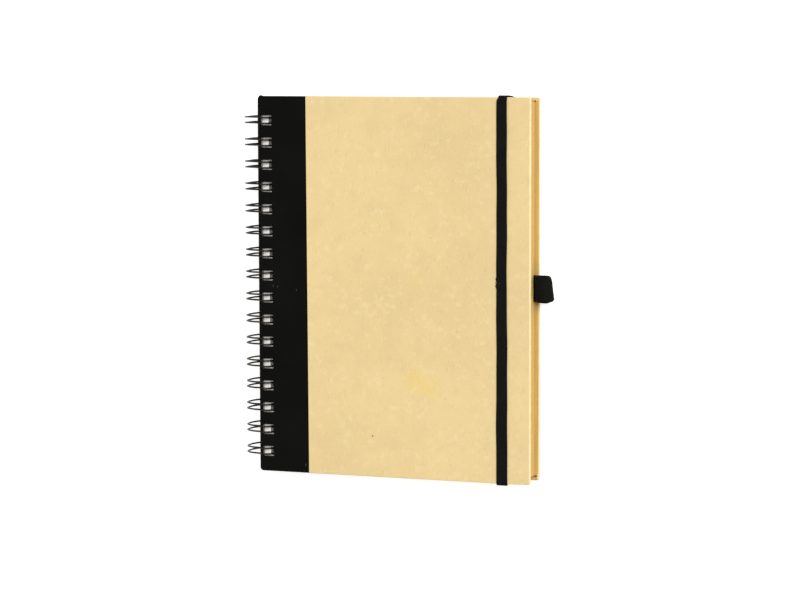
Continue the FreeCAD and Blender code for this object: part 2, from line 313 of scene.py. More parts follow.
def board_plate(name, outline, low, high, radius, holes, lip, materials):
    """A flat punched board with rounded edges; the walls of its holes take the second material."""
    rings = [(outline(inset), level) for inset, level in edge_profile(low, high, radius)]
    hole_rings = [[(hole_outline(y, inset), level) for inset, level in edge_profile(low, high, lip, 2)]
                  for y in holes]
    points, faces, kinds, smooth = [], [], [], []

    def add_ring(ring):
        start = len(points)
        points.extend((x, y, ring[1]) for x, y in ring[0])
        return start

    def join(starts, count, flip, wall_material):
        for k, (a, b) in enumerate(zip(starts, starts[1:])):
            for i in range(count):
                j = (i + 1) % count
                quad = (a + i, a + j, b + j, b + i)
                faces.append(quad[::-1] if flip else quad)
                kinds.append(wall_material if k == len(starts) // 2 - 1 else 0)
                smooth.append(True)

    outer_starts = [add_ring(r) for r in rings]
    count = len(rings[0][0])
    join(outer_starts, count, False, 0)
    hole_starts = []
    for group in hole_rings:
        starts = [add_ring(r) for r in group]
        join(starts, len(group[0][0]), True, 1 if len(materials) > 1 else 0)
        hole_starts.append(starts)
    for end in (0, -1):
        outer = rings[end][0]
        inner = [group[end][0] for group in hole_rings]
        _, triangles = fill_between(outer, inner)
        index = [outer_starts[end] + i for i in range(len(outer))]
        for starts, ring in zip(hole_starts, inner):
            index += [starts[end] + i for i in range(len(ring))]
        for tri in triangles:
            face = tuple(index[i] for i in tri)
            faces.append(face if end == -1 else face[::-1])
            kinds.append(0)
            smooth.append(False)
    return new_piece(name, points, faces, materials, kinds, smooth)


def arc_turn(points, pivot, axis, degrees, steps):
    """Adds the points of an arc from the last point, about a pivot."""
    last = points[-1]
    for i in range(1, steps + 1):
        spin = Matrix.Rotation(math.radians(degrees) * i / steps, 3, axis)
        points.append(pivot + spin @ (last - pivot))


def soft_route(corners, radii, spacing):
    """Points in two directions, along straight runs with round bends between them."""
    route = [Vector(corners[0])]
    for i in range(1, len(corners) - 1):
        here = Vector(corners[i])
        before = (Vector(corners[i - 1]) - here).normalized()
        after = (Vector(corners[i + 1]) - here).normalized()
        angle = before.angle(after)
        reach = radii[i - 1] / math.tan(angle / 2.0)
        start, end = here + before * reach, here + after * reach
        centre = here + (before + after).normalized() * (radii[i - 1] / math.sin(angle / 2.0))
        steps = max(2, int((math.pi - angle) / 0.16))
        run_to(route, start, spacing)
        a, b = start - centre, end - centre
        sweep = a.angle_signed(b)
        for k in range(1, steps + 1):
            turn = -sweep * k / steps
            c, s = math.cos(turn), math.sin(turn)
            route.append(centre + Vector((a.x * c - a.y * s, a.x * s + a.y * c)))
    run_to(route, Vector(corners[-1]), spacing)
    return route


def run_to(route, end, spacing):
    start = route[-1]
    steps = max(1, int((end - start).length / spacing))
    for k in range(1, steps + 1):
        route.append(start.lerp(end, k / steps))


def strap_profile(width, thickness, ribs, rib_height):
    """Cross-section of a woven strap: place across it, height off its middle, and share across."""
    half = thickness / 2.0
    across = ribs * 4
    flat = width - thickness
    upper, right, left = [], [], []
    for i in range(across + 1):
        t = i / across
        ripple = rib_height * (abs(math.sin(math.pi * ribs * t)) - 1.0)
        upper.append((-flat / 2.0 + flat * t, half + ripple, (half + flat * t) / width))
    lower = [(u, -h, s) for u, h, s in reversed(upper)]
    for k in (1, 2, 3):
        angle = math.pi / 2.0 - math.pi * k / 4.0
        u, h = half * math.cos(angle), half * math.sin(angle)
        right.append((flat / 2.0 + u, h, 1.0 - (half - u) / width))
        left.append((-flat / 2.0 - u, -h, (half - u) / width))
    return (upper + right + lower + left)[::-1]


def strap(name, stations, profile, materials):
    """Sweeps a profile along stations of (middle, across, outward, distance), with a UV map."""
    points, faces, uvs = [], [], []
    count = len(profile)
    for middle, across, outward, _ in stations:
        for u, h, _ in profile:
            points.append(middle + across * u + outward * h)
    for i in range(len(stations) - 1):
        d0, d1 = stations[i][3], stations[i + 1][3]
        for j in range(count):
            k = (j + 1) % count
            faces.append((i * count + j, i * count + k, (i + 1) * count + k, (i + 1) * count + j))
            s0, s1 = profile[j][2], profile[k][2]
            uvs += [(s0, d0), (s1, d0), (s1, d1), (s0, d1)]
    last = (len(stations) - 1) * count
    faces.append(tuple(range(count))[::-1])
    uvs += [(profile[j][2], stations[0][3]) for j in reversed(range(count))]
    faces.append(tuple(range(last, last + count)))
    uvs += [(profile[j][2], stations[-1][3]) for j in range(count)]
    piece = new_piece(name, points, faces, materials, smooth=[True] * len(faces))
    layer = piece.data.uv_layers.new(name="strap")
    for loop, uv in zip(layer.data, uvs):
        loop.uv = uv
    return piece


# Materials

class Nodes:
    """Adds nodes to a tree, with their options set and their inputs linked or given values."""

    def __init__(self, tree):
        self.tree = tree

    def node(self, kind, values=None, **options):
        made = self.tree.nodes.new(kind)
        for key, value in options.items():
            setattr(made, key, value)
        for key, value in (values or {}).items():
            if isinstance(value, bpy.types.NodeSocket):
                self.tree.links.new(value, made.inputs[key])
            else:
                made.inputs[key].default_value = value
        return made

    def math(self, operation, a, b=0.0):
        return self.node("ShaderNodeMath", {0: a, 1: b}, operation=operation).outputs[0]

    def times(self, a, b):
        return self.math("MULTIPLY", a, b)

    def plus(self, a, b):
        return self.math("ADD", a, b)

    def minus(self, a, b):
        return self.math("SUBTRACT", a, b)

    def combine(self, **parts):
        return self.node("ShaderNodeCombineXYZ", parts).outputs[0]

    def separate(self, vector):
        return self.node("ShaderNodeSeparateXYZ", {0: vector}).outputs


class Finish(Nodes):
    """A node material under construction."""

    def __init__(self, name, roughness, **fixed):
        self.material = bpy.data.materials.new(name)
        self.material.use_nodes = True
        super().__init__(self.material.node_tree)
        self.surface = next(n for n in self.tree.nodes if n.type == "BSDF_PRINCIPLED")
        self.surface.inputs["Roughness"].default_value = roughness
        for label, value in fixed.items():
            self.surface.inputs[label.replace("_", " ")].default_value = value
        self.place = self.node("ShaderNodeTexCoord").outputs["Object"]

    def mapped(self, scale=(1.0, 1.0, 1.0), turn=0.0, place=None, shift=(0.0, 0.0, 0.0)):
        made = self.node("ShaderNodeMapping", {"Vector": place or self.place, "Scale": scale,
                                               "Rotation": (0.0, 0.0, turn), "Location": shift})
        return made.outputs["Vector"]

    def noise(self, vector, scale, detail=2.0, roughness=0.5):
        made = self.node("ShaderNodeTexNoise", {"Vector": vector, "Scale": scale, "Detail": detail,
                                                "Roughness": roughness})
        return made.outputs["Fac"]

    def range(self, value, low, high, to_low=0.0, to_high=1.0):
        made = self.node("ShaderNodeMapRange", {"Value": value, "From Min": low, "From Max": high,
                                                "To Min": to_low, "To Max": to_high}, clamp=True)
        return made.outputs["Result"]

    def blend(self, value, tone, low, high):
        """A tone between two of its own shades, by a noise value."""
        return self.mix(self.range(value, 0.3, 0.7), scaled(tone, low), scaled(tone, high))

    def mix(self, factor, a, b):
        made = self.node("ShaderNodeMix", {"Factor": factor}, data_type="RGBA")
        for socket, value in ((made.inputs[6], a), (made.inputs[7], b)):
            if isinstance(value, bpy.types.NodeSocket):
                self.tree.links.new(value, socket)
            else:
                socket.default_value = (*value, 1.0)
        return made.outputs[2]

    def near(self, point, inner, outer, stretch=(1.0, 1.0, 1.0)):
        """1 within a small distance of a point, 0 beyond a larger one."""
        away = self.node("ShaderNodeVectorMath", {0: self.place, 1: point}, operation="SUBTRACT")
        sized = self.node("ShaderNodeVectorMath", {0: away.outputs[0], 1: stretch}, operation="MULTIPLY")
        far = self.node("ShaderNodeVectorMath", {0: sized.outputs[0]}, operation="LENGTH")
        return self.range(far.outputs["Value"], inner, outer, 1.0, 0.0)

    def dots(self, place, scale, inner, outer, channel, above, amount):
        """Scattered dots, on some of a pattern's cells."""
        cells = self.node("ShaderNodeTexVoronoi", {"Vector": place, "Scale": scale}).outputs
        chosen = self.node("ShaderNodeSeparateColor", {"Color": cells["Color"]}).outputs[channel]
        dot = self.range(cells["Distance"], inner, outer, amount, 0.0)
        return self.times(dot, self.math("GREATER_THAN", chosen, above))

    def marked(self, base, marks, place=None):
        """Adds marks, in mm: place, inner and outer reach, stretch, shade and amount."""
        for point, inner, outer, stretch, shade, amount in marks:
            mask = self.near(Vector(point) * MM, inner * MM, outer * MM, stretch)
            # Wide marks are broken up
            if outer > 2.0:
                mask = self.times(mask, self.range(self.noise(place, 420.0, 3.0), 0.35, 0.6))
            base = self.mix(self.times(mask, amount), base, srgb(*shade))
        return base

    def finish(self, base, height=None, strength=0.2, distance=0.0001, roughness=None):
        self.tree.links.new(base, self.surface.inputs["Base Color"])
        if height is not None:
            bump = self.node("ShaderNodeBump", {"Height": height, "Strength": strength,
                                                "Distance": distance})
            self.tree.links.new(bump.outputs["Normal"], self.surface.inputs["Normal"])
        if roughness is not None:
            self.tree.links.new(roughness, self.surface.inputs["Roughness"])
        return self.material


def scaled(rgb, by):
    return tuple(min(1.0, c * by) for c in rgb)


def kraft_paper(name, tone, seed, marks=(), inside=None, fibres=1.0):
    """Brown recycled paper; inside is the level and side of the face where it is turned in, where the paper
    takes a painted shade; with it, a painted highlight runs along the fore-edge.
    """
    cover = settings().cover
    made = Finish(name, 0.82, Specular_IOR_Level=0.25)
    place = made.mapped(shift=(seed, seed * 0.7, seed * 0.3))
    base = made.blend(made.noise(place, 16.0, 3.0), tone, 0.955, 1.03)
    blotch = made.range(made.noise(place, 105.0, 4.0, 0.6), 0.42, 0.72, 0.0, 0.4)
    base = made.mix(blotch, base, scaled(tone, 0.88))
    pale_blotch = made.range(made.noise(place, 260.0), 0.56, 0.74, 0.0, 0.38 * fibres)
    base = made.mix(pale_blotch, base, cover.kraft_fibre)
    heights = None
    pale, dark = cover.kraft_fibre, cover.kraft_fleck
    for turn, low, shade, amount in ((0.5, 0.66, pale, 0.34), (1.75, 0.68, dark, 0.3),
                                     (2.7, 0.67, pale, 0.3), (-0.25, 0.69, dark, 0.26)):
        line = made.noise(made.mapped((1500.0, 300.0, 1500.0), turn, place), 1.0, 1.0)
        mask = made.range(line, low, low + 0.07, 0.0, amount * fibres)
        base = made.mix(mask, base, shade)
        heights = mask if heights is None else made.plus(heights, mask)
    base = made.mix(made.dots(place, 95.0, 0.02, 0.05, "Red", 0.72, 0.6), base, cover.kraft_fleck)
    if inside:
        level, side = inside
        parts = made.separate(made.place)
        depth = made.times(made.minus(parts["Z"], level), side)
        # Painted shade: the turned-in margin of the inner face takes the darker, more saturated turn-in
        # kraft.
        turned = made.range(depth, -0.16 * MM, -0.06 * MM)
        streaks = made.noise(made.mapped((500.0, 26.0, 500.0)), 1.0, 3.0)
        inner = made.blend(streaks, cover.shaded_turn_in, 0.9, 1.12)
        base = made.mix(made.times(turned, 0.85), base, inner)
        # Painted highlight: a pale band along the fore-edge and its rounded edge, broken up by noise and
        # kept off the turned-in face.
        edge = made.range(parts["X"], FORE - 0.75 * MM, FORE - 0.3 * MM)
        highlight_breakup = made.range(made.noise(place, 260.0, 3.0), 0.3, 0.55, 0.55, 1.0)
        edge = made.times(made.times(edge, highlight_breakup), made.minus(1.0, turned))
        base = made.mix(edge, base, cover.edge_highlight)
    base = made.marked(base, marks, place)
    grain = made.noise(place, 2600.0)
    height = made.plus(made.times(heights, 0.8), grain)
    return made.finish(base, height, 0.25, 0.00008)


def spine_paper(name):
    """Matt black paper with a fine pressed grain and one small scuff."""
    cover = settings().cover
    made = Finish(name, 0.75, Specular_IOR_Level=0.03)
    fine = made.noise(made.place, 1900.0, 3.0, 0.6)
    base = made.blend(made.noise(made.place, 38.0, 3.0), cover.strip, 0.8, 1.25)
    dust = made.dots(made.place, 260.0, 0.03, 0.07, "Green", 0.93, 0.22)
    base = made.mix(dust, base, srgb(120, 118, 112))
    marks = [((-52.4, -103.3, 20.7), 0.15, 0.9, (2.2, 0.9, 0.5), (120, 116, 108), 0.35)]
    marks += [((x, y, 20.68), 0.1, 0.75, (1.6, 0.8, 0.5), (96, 96, 92), 0.4)
              for x, y in ((-71.94, -0.51), (-69.09, -0.94), (-57.53, -2.57))]
    base = made.marked(base, marks)
    return made.finish(base, fine, 0.35, 0.00006, made.range(fine, 0.3, 0.7, 0.62, 0.8))


def board_core(name):
    """Grey pulp board seen in a punched hole's wall."""
    made = Finish(name, 0.9, Specular_IOR_Level=0.15)
    layers = made.noise(made.mapped((300.0, 300.0, 6000.0)), 1.0)
    base = made.blend(layers, settings().cover.board_core, 0.8, 1.15)
    return made.finish(base, layers, 0.4, 0.0001)


def sheet_paper(name, tone, depth, rim=None):
    """Smooth writing paper; depth is how much its tone varies, rim the painted shade of the outer edges,
    carried onto the face just inside them.
    """
    made = Finish(name, 0.75, Specular_IOR_Level=0.25)
    fine = made.noise(made.place, 900.0, 3.0)
    streak = made.noise(made.mapped((60.0, 60.0, 5200.0)), 1.0)
    wide = made.noise(made.mapped((30.0, 30.0, 500.0)), 1.0)
    shade = made.plus(made.times(streak, 0.6), made.times(wide, 0.4))
    base = made.blend(shade, tone, 1.0 - depth, 1.0 + depth)
    # Painted shade: the face takes the edges' tan within half a millimetre of the outer edges.
    if rim:
        parts = made.separate(made.place)
        fore = made.minus(parts["X"], SHEETS_HIGH.x)
        ends = made.minus(made.math("ABSOLUTE", parts["Y"]), SHEETS_HIGH.y)
        near = made.range(made.math("MAXIMUM", fore, ends), -0.5 * MM, -0.3 * MM)
        base = made.mix(near, base, rim)
    return made.finish(base, fine, 0.12, 0.00005)


def coated_wire(name):
    """Black nylon-coated steel wire with a satin gloss."""
    made = Finish(name, 0.34, Specular_IOR_Level=0.22)
    flow = made.noise(made.place, 900.0)
    base = made.blend(flow, settings().wire.black, 0.8, 1.3)
    return made.finish(base, flow, 0.05, 0.00005, made.range(flow, 0.3, 0.7, 0.24, 0.38))


def woven_elastic(name, ribs, width):
    """Black woven elastic: cords along the strap, with yarns that cross them in turn."""
    elastic = settings().elastic
    made = Finish(name, 0.88, Specular_IOR_Level=0.04, Sheen_Weight=0.02, Sheen_Roughness=0.5)
    flat = made.node("ShaderNodeUVMap", uv_map="strap")
    parts = made.separate(flat.outputs["UV"])
    across = made.times(parts["X"], ribs)
    odd = made.math("MODULO", made.math("FLOOR", across), 2.0)
    along = made.math("DIVIDE", parts["Y"], elastic.pick)
    along = made.plus(along, made.times(odd, 0.5))
    yarn = made.math("ABSOLUTE", made.math("SINE", made.times(along, math.pi)))
    cord = made.math("ABSOLUTE", made.math("SINE", made.times(across, math.pi)))
    weave = made.times(yarn, cord)
    fluff = made.noise(made.place, 1500.0, 3.0, 0.6)
    height = made.plus(weave, made.times(fluff, 0.5))
    wear = made.range(made.noise(made.place, 140.0, 3.0), 0.35, 0.7)
    # Painted shade and highlight: the black is darker in the weave's grooves and lighter on its raised
    # cords and yarns, following the bump height.
    base = made.mix(made.range(height, 0.2, 1.3), scaled(elastic.black, 0.55), scaled(elastic.black, 1.25))
    base = made.mix(made.times(wear, 0.35), base, scaled(elastic.black, 1.6))
    return made.finish(base, height, 0.7, 0.00012)


def loose_fibre(name, tone):
    """Loose fibre, a little uneven in shade."""
    made = Finish(name, 0.8, Specular_IOR_Level=0.1)
    base = made.mix(made.noise(made.place, 800.0), scaled(tone, 0.8), tone)
    return made.finish(base)


# Geometry node trees

class GeometryTree(Nodes):
    """A geometry tree with named inputs, for one piece."""

    def __init__(self, name, inputs):
        super().__init__(bpy.data.node_groups.new(name, "GeometryNodeTree"))
        sockets = self.tree.interface
        sockets.new_socket("Geometry", in_out="INPUT", socket_type="NodeSocketGeometry")
        for label, kind in inputs:
            sockets.new_socket(label, in_out="INPUT", socket_type="NodeSocket" + kind)
        sockets.new_socket("Geometry", in_out="OUTPUT", socket_type="NodeSocketGeometry")
        self.given = self.node("NodeGroupInput").outputs
        self.result = self.node("NodeGroupOutput").inputs

    def geometry(self, kind, source, values=None, **options):
        """A geometry node fed by another's geometry; returns its geometry."""
        return self.node("GeometryNode" + kind, {0: source, **(values or {})}, **options).outputs[0]

    def row(self, count, start, step):
        return self.node("GeometryNodeMeshLine", {"Count": count, "Start Location": start, "Offset": step},
                         mode="OFFSET").outputs["Mesh"]

    def copies(self, points):
        """Real copies of the given geometry on some points."""
        placed = self.geometry("InstanceOnPoints", points, {"Instance": self.given["Geometry"]})
        return self.geometry("RealizeInstances", placed)

    def position(self):
        return self.separate(self.node("GeometryNodeInputPosition").outputs[0])

    def named(self, label):
        return self.node("GeometryNodeInputNamedAttribute", {"Name": label}).outputs["Attribute"]

    def end(self, last):
        self.tree.links.new(last, self.result["Geometry"])

    def run(self, piece, values, name):
        """Runs the tree on a piece's mesh and returns the result as a plain mesh object."""
        modifier = piece.modifiers.new(self.tree.name, "NODES")
        modifier.node_group = self.tree
        found = {s.name: s.identifier for s in self.tree.interface.items_tree
                 if s.item_type == "SOCKET" and s.in_out == "INPUT"}
        for label, value in values.items():
            modifier[found[label]] = value
        bpy.context.view_layer.update()
        result = piece.evaluated_get(bpy.context.evaluated_depsgraph_get())
        mesh = bpy.data.meshes.new_from_object(result)
        piece.modifiers.remove(modifier)
        bpy.data.objects.remove(piece)
        mesh.name = name
        made = bpy.data.objects.new(name, mesh)
        bpy.context.scene.collection.objects.link(made)
        return made


def loops_tree():
    """Repeats one loop along the spine, joins the copies end to end and gives them the wire's thickness."""
    tree = GeometryTree("Twin loop row", [
        ("Loops", "Int"), ("Pitch", "Float"), ("First loop", "Float"), ("Row start", "Float"),
        ("Row end", "Float"), ("Wire radius", "Float"), ("Sides", "Int"), ("Finish", "Material")])
    given = tree.given
    row = tree.row(given["Loops"], tree.combine(Y=given["First loop"]), tree.combine(Y=given["Pitch"]))
    joined = tree.geometry("MergeByDistance", tree.copies(row), {"Distance": 0.01 * MM})
    parts = tree.position()
    kept = tree.math("MINIMUM", parts["Y"], given["Row end"])
    kept = tree.math("MAXIMUM", kept, given["Row start"])
    place = tree.combine(X=parts["X"], Y=kept, Z=parts["Z"])
    cut = tree.geometry("SetPosition", joined, {"Position": place})
    path = tree.geometry("MeshToCurve", cut)
    ring = tree.node("GeometryNodeCurvePrimitiveCircle", {"Resolution": given["Sides"],
                                                          "Radius": given["Wire radius"]})
    wire = tree.geometry("CurveToMesh", path, {"Profile Curve": ring.outputs["Curve"], "Fill Caps": True})
    smooth = tree.geometry("SetShadeSmooth", wire, {"Shade Smooth": True})
    plain = tree.geometry("RealizeInstances", smooth)
    tree.end(tree.geometry("SetMaterial", plain, {"Material": given["Finish"]}))
    return tree


def sheets_tree():
    """Stacks one sheet's copies a hair out of line, and bends them to the ring and over what lies below."""
    tree = GeometryTree("Sheet stack", [
        ("Sheets", "Int"), ("Pitch", "Float"), ("Jitter", "Float"), ("Seed", "Int"), ("Bottom", "Float"),
        ("Middle", "Float"), ("Bow radius", "Float"), ("Bow end", "Float"), ("Height", "Float"),
        ("Face", "Material"), ("Edge", "Material"), ("Hole wall", "Material")])
    given = tree.given
    pile = tree.row(given["Sheets"], tree.combine(Z=given["Bottom"]), tree.combine(Z=given["Pitch"]))
    back = tree.times(given["Jitter"], -1.0)
    offset = tree.node("FunctionNodeRandomValue", {
        0: tree.combine(X=back, Y=back), 1: tree.combine(Y=given["Jitter"]), "Seed": given["Seed"],
        "ID": tree.node("GeometryNodeInputIndex").outputs["Index"]}, data_type="FLOAT_VECTOR")
    stack = tree.copies(tree.geometry("SetPosition", pile, {"Offset": offset.outputs[0]}))
    parts = tree.position()
    level = tree.minus(parts["Z"], given["Middle"])
    square = tree.math("POWER", given["Bow radius"], 2.0)
    root = tree.math("SQRT", tree.minus(square, tree.times(level, level)))
    bow = tree.minus(root, given["Bow end"])
    bow = tree.times(tree.named("bow"), bow)
    depth = tree.minus(parts["Z"], given["Bottom"])
    depth = tree.math("DIVIDE", depth, given["Height"])
    whole = tree.minus(1.0, depth)
    low_part = tree.minus(1.0, tree.times(depth, 2.4))
    low_part = tree.math("MAXIMUM", low_part, 0.0)
    over_seam = tree.times(tree.named("seam_lift"), low_part)
    over_pen = tree.times(tree.named("pen_lift"), whole)
    move = tree.combine(X=bow, Z=tree.plus(over_seam, over_pen))
    last = tree.geometry("RealizeInstances", tree.geometry("SetPosition", stack, {"Offset": move}))
    for label, test in (("Face", 0.0), ("Edge", 1.0), ("Hole wall", 2.0)):
        same = tree.node("FunctionNodeCompare", {0: tree.named("part"), 1: test, "Epsilon": 0.1},
                         data_type="FLOAT", operation="EQUAL")
        last = tree.geometry("SetMaterial", last, {"Selection": same.outputs[0],
                                                   "Material": given[label]})
    tree.end(last)
    return tree


# The pieces

def dress(piece, body, slot, *nodes):
    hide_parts(*nodes)
    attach(piece, body)
    return piece


def kraft_outline(inset, trim=0.0):
    """The kraft paper's outline, with its cut edge on the black strip a little out of square."""
    cover = settings().cover
    left = STRIP_HIGH.x + min(inset, 0.04 * MM)
    outline = rounded_box_outline(left, FORE - inset, COVER_HIGH.y - inset, 0.0,
                                  cover.fore_round - inset)
    return [(x + (cover.strip_lean * (0.5 - y / (2.0 * COVER_HIGH.y)) if x < left + 0.1 * MM else 0.0),
             y - trim if y > 0 else y) for x, y in outline]


def strip_outline(inset, trim=0.0, fold=0.0):
    """The black strip's outline; fold is a lump of folded paper at its head corner."""
    cover = settings().cover
    edge = COVER_HIGH.y - 0.06 * MM
    right = STRIP_HIGH.x + cover.strip_lean + 0.3 * MM
    outline = rounded_box_outline(SPINE + inset, right, edge - inset, cover.spine_round - inset, 0.0)
    points = []
    for here, after in zip(outline, outline[1:] + outline[:1]):
        points.append(here)
        if here[1] > 0 and here[0] - after[0] > 5.0 * MM:
            points += [(after[0] + step * MM, here[1]) for step in (4.0, 3.0, 2.3, 1.7, 1.2, 0.8, 0.4)]
    top = SPINE + 1.6 * MM
    return [(x, y - trim + fold * math.exp(-((x - top) / MM) ** 2) if y > 0 else y) for x, y in points]


class NOTEBOOK_OT_boards(bpy.types.Operator):
    """Builds the kraft-covered boards of the two covers"""
    bl_idname = "notebook.boards"
    bl_label = "Boards"

    def execute(self, context):
        cover = settings().cover
        top, under = 20.78, BACK_HIGH.z / MM
        # A stain, a dark spot and two faint ones on the front cover
        marks = [((x, y, top), 0.0, reach, (0.8, 1.15, 0.2), (240, 212, 118), amount)
                 for x, y, reach, amount in ((17.3, -53.0, 9.5, 0.85), (23.0, -57.5, 6.5, 0.6),
                                             (12.2, -49.0, 6.0, 0.5), (13.9, 4.6, 5.5, 0.4))]
        marks += [((x, y, top), inner, outer, (1.0, 1.0, 0.2), shade, amount)
                  for x, y, inner, outer, shade, amount in (
                      (-11.37, -84.59, 0.3, 0.62, (92, 66, 40), 0.85),
                      (-35.87, 64.63, 0.15, 0.4, (150, 118, 72), 0.6),
                      (-5.67, 67.89, 0.15, 0.4, (150, 118, 72), 0.6))]
        # Marks on the back cover's inner face at its fore-edge corners: pale and brown marks at the folded
        # corners, and dark marks that are painted shadow in the gap beside the sheets' tail and head
        dark = (112, 74, 28)
        folds = [((x, y, under), *rest) for x, y, *rest in (
            (82.0, -105.0, 0.5, 1.4, (1.4, 0.7, 0.2), (250, 220, 176), 0.8),
            (80.3, 107.0, 0.9, 1.9, (0.45, 1.0, 0.2), (240, 212, 156), 0.75),
            (78.9, -105.35, 0.4, 0.85, (0.26, 1.25, 0.2), dark, 1.0),
            (80.5, -105.8, 0.25, 0.6, (1.0, 0.7, 0.2), dark, 1.0),
            (81.5, -106.3, 0.25, 0.6, (0.9, 1.0, 0.2), (255, 240, 222), 1.0),
            (82.3, -106.6, 0.1, 0.45, (1.0, 1.0, 0.2), (170, 112, 60), 0.8),
            (79.75, 105.35, 0.3, 0.65, (1.2, 0.8, 0.2), (110, 54, 34), 1.0),
            (78.9, 105.7, 0.15, 0.5, (1.0, 1.0, 0.2), dark, 0.6))]
        front = kraft_paper("Kraft_front", cover.kraft, 0.31, marks, (COVER_LOW.z, -1.0))
        back = kraft_paper("Kraft_back", cover.kraft, 0.87, folds, (BACK_HIGH.z, 1.0))
        for name, body, low, high, paper, trim in (
                ("front_board", "front", COVER_LOW.z, COVER_HIGH.z, front, 0.0),
                ("back_board", "back", BACK_LOW.z, BACK_HIGH.z, back, cover.head_trim)):
            piece = board_plate(name, lambda inset, t=trim: kraft_outline(inset, t), low, high,
                                cover.edge_round, [], 0.0, [paper])
            dress(piece, body, "kraft_cover", body + "_cover")
        return {"FINISHED"}


class NOTEBOOK_OT_strips(bpy.types.Operator):
    """Builds the punched black strips round the spine side of the two covers"""
    bl_idname = "notebook.strips"
    bl_label = "Spine strips"

    def execute(self, context):
        cover = settings().cover
        papers = [spine_paper("Spine_paper"), board_core("Board_core")]
        step = cover.paper_step
        for name, body, low, high, trim, fold in (
                ("front_strip", "front", COVER_LOW.z, COVER_HIGH.z, 0.0, cover.corner_fold),
                ("back_strip", "back", BACK_LOW.z, BACK_HIGH.z, cover.head_trim, 0.0)):
            piece = board_plate(name, lambda inset, t=trim, f=fold: strip_outline(inset, t, f),
                                low + step, high - step, cover.edge_round, hole_centres(), cover.hole_lip,
                                papers)
            dress(piece, body, "black_strip", body + "_spine_strip")
        return {"FINISHED"}


class NOTEBOOK_OT_linings(bpy.types.Operator):
    """Builds the kraft linings glued inside the covers"""
    bl_idname = "notebook.linings"
    bl_label = "Linings"

    def execute(self, context):
        cover = settings().cover
        for body, seed in (("front", 0.13), ("back", 0.53)):
            node = body + "_lining"
            low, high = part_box(node)
            paper = kraft_paper("Lining_" + body, cover.lining, seed, fibres=0.35)
            piece = board_plate(
                node + "_paper", lambda inset, a=low, b=high: rounded_box_outline(
                    a.x + inset, b.x - inset, b.y - inset, 0.4 * MM, 0.4 * MM, 4),
                low.z, high.z, 0.05 * MM, [], 0.0, [paper])
            dress(piece, body, "kraft_lining", node)
        return {"FINISHED"}


def smooth_step(value, low, high):
    t = max(0.0, min(1.0, (value - low) / (high - low)))
    return t * t * (3.0 - 2.0 * t)


def one_sheet(thickness):
    """One punched sheet, with what each point and face needs to know kept in attributes."""
    sheets, wire = settings().sheets, settings().wire
    x0, x1 = SHEETS_LOW.x, SHEETS_HIGH.x
    half = SHEETS_HIGH.y
    pen_middle = (PEN_LOW.y + PEN_HIGH.y) / 2.0
    # Half the pen loop's width, and how far in from the fore-edge the sheets rise over it
    pen_half, tab_end, tab_fade = 8.2 * MM, 20.6 * MM, 29.0 * MM
    pen_rows = [pen_middle + d * MM for d in (-26, -22, -18, -14, -10.5, -8.2, 0, 8.2, 10.5, 13.5, 17, 21)]
    outer = [(x0, -half), (x1, -half)] + [(x1, y) for y in pen_rows] + [(x1, half), (x0, half)]
    centres = hole_centres()
    holes = [sheet_hole_outline(y) for y in centres]
    # Rows and columns of points where the sheet bends over the wire's seam and the pen loop
    seam_x, _ = seam_place()
    columns = [seam_x + d * MM for d in (0.95, 1.9, 3.2, 5.0)]
    lands = [centres[0] - wire.pitch / 2.0] + [y + wire.pitch / 2.0 for y in centres]
    before = [seam_x - d * MM for d in (3.4, 1.9, 0.95)]
    extra = [(x, y) for y in lands for x in [*before, *columns]]
    extra += [(x, y) for y in centres for x in [before[0], *columns]]
    extra += [(x1 - d * MM, y) for d in (3, 9, 15, 20.6, 24, 29) for y in pen_rows]
    points, triangles = fill_between(outer, holes, extra)
    count = len(points)
    verts = [(p[0], p[1], 0.0) for p in points] + [(p[0], p[1], thickness) for p in points]
    faces = [tuple(t[::-1]) for t in triangles] + [tuple(i + count for i in t) for t in triangles]
    parts = [0.0] * len(faces)
    start = 0
    for ring, kind in [(outer, 1.0)] + [(h, 2.0) for h in holes]:
        size = len(ring)
        for i in range(size):
            a, b = start + i, start + (i + 1) % size
            quad = (a, b, b + count, a + count)
            faces.append(quad if kind == 1.0 else quad[::-1])
            parts.append(kind)
        start += size
    sheet = new_piece("one_sheet", verts, faces, [])
    hole_points = range(len(outer), len(outer) + sum(len(h) for h in holes))
    bow, seam, pen = [], [], []
    top, tail = centres[-1] + 5.0 * MM, centres[0] - 5.0 * MM
    for i, (x, y, _) in enumerate(verts):
        bow.append(1.0 if i % count in hole_points else 0.0)
        beside = 1.0 - smooth_step(abs(x - seam_x), 0.95 * MM, 4.0 * MM)
        ends = (1.0 - smooth_step(y, top, half - 0.5 * MM)) * smooth_step(y, 0.5 * MM - half, tail)
        seam.append(sheets.seam_lift * beside * ends)
        across = y - pen_middle
        side = 1.0 - smooth_step(abs(across), pen_half, (19.0 if across > 0 else 24.0) * MM)
        pen.append(sheets.pen_lift * side * smooth_step(x, x1 - tab_fade, x1 - tab_end))
    for label, domain, values in (("bow", "POINT", bow), ("seam_lift", "POINT", seam),
                                  ("pen_lift", "POINT", pen), ("part", "FACE", parts)):
        sheet.data.attributes.new(label, "FLOAT", domain).data.foreach_set("value", values)
    return sheet


